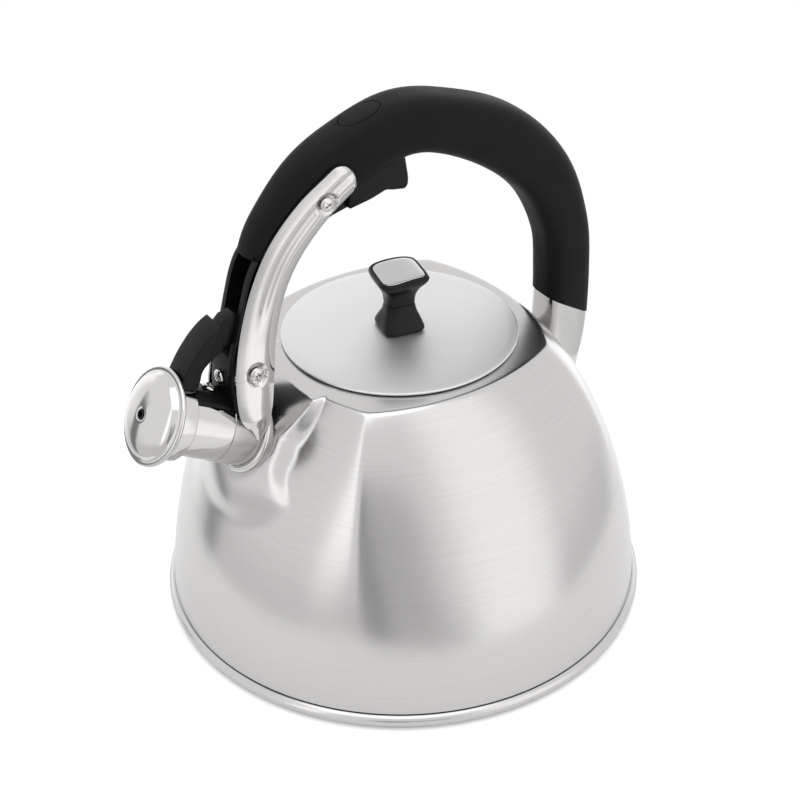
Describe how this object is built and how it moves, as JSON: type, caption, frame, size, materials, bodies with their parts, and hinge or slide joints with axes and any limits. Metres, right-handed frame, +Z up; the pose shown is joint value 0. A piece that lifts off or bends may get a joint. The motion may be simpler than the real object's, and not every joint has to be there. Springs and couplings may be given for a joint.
{
  "type": "stovetop whistling kettle",
  "caption": "Stovetop whistling kettle with a squared-shoulder body, loop handle, lift-off lid, and a spout cap opened by a finger lever.",
  "frame": {"origin": "centre of the flat face that stands on the hob", "axes": "+Z up, the spout points to -X, +Y to the kettle's right-hand side seen from behind the spout; symmetric about the XZ plane"},
  "size_m": [0.2177, 0.1998, 0.2196],
  "materials": {
    "satin_steel": "fine satin brushed stainless steel",
    "polished_steel": "mirror polished stainless steel",
    "fasteners": "bright steel",
    "spreader": "plain rolled",
    "soft_grip": "soft-touch matte black",
    "black_plastic": "satin moulded black",
    "silicone": "matte"
  },
  "bodies": {
    "kettle": {"base_pan": "satin_steel", "body_shell": "satin_steel", "cap_pin": "fasteners", "cap_spring": "fasteners", "cheek_left": "polished_steel", "cheek_right": "polished_steel", "ferrule_screw": "fasteners", "foot_screw": "fasteners", "front_leg": "black_plastic", "grip": "soft_grip", "grip_plug": "soft_grip", "heat_spreader": "spreader", "leg_screw": "fasteners", "lower_screw_left": "fasteners", "lower_screw_right": "fasteners", "rear_ferrule": "polished_steel", "spout_collar": "polished_steel", "spout_strainer": "satin_steel", "spout_tube": "polished_steel", "spreader_cap": "satin_steel", "trigger_pin": "fasteners", "upper_screw_left": "fasteners", "upper_screw_right": "fasteners"},
    "cap": {"cap_lever": "black_plastic", "cap_rivet": "fasteners", "cap_seal": "silicone", "whistle_dome": "polished_steel", "whistle_plate": "satin_steel", "whistle_skirt": "polished_steel"},
    "trigger": {"trigger_lever": "black_plastic"},
    "rod": {"push_rod": "black_plastic"},
    "lid": {"lid_disc": "satin_steel", "lid_skirt": "satin_steel", "lid_gasket": "silicone", "knob_base": "black_plastic", "knob_top": "black_plastic", "knob_inlay": "satin_steel", "knob_bolt": "fasteners", "knob_washer": "fasteners"}
  },
  "joints": [
    {"name": "cap_swing", "type": "hinge", "parent": "kettle", "child": "cap", "pos_m": [-0.0693, 0, 0.147], "axis": [0, 1, 0], "range_deg": [0, 32.4], "stiffness_Nm_per_rad": 0.04, "springref_deg": -28.65},
    {"name": "trigger_pull", "type": "hinge", "parent": "kettle", "child": "trigger", "pos_m": [-0.03, 0, 0.194], "axis": [0, -1, 0], "range_deg": [0, 11.5]},
    {"name": "rod_slide", "type": "slide", "parent": "kettle", "child": "rod", "axis": [-0.2686, 0, -0.9632], "range_m": [0, 0.0036]},
    {"name": "lid_lift", "type": "slide", "parent": "kettle", "child": "lid", "axis": [0, 0, 1], "range_m": [0, 0.035]}
  ],
  "couplings": [
    {"joint": "trigger_pull", "follows": "cap_swing", "ratio": 0.3333},
    {"joint": "rod_slide", "follows": "cap_swing", "m_per_rad": 0.0061}
  ]
}
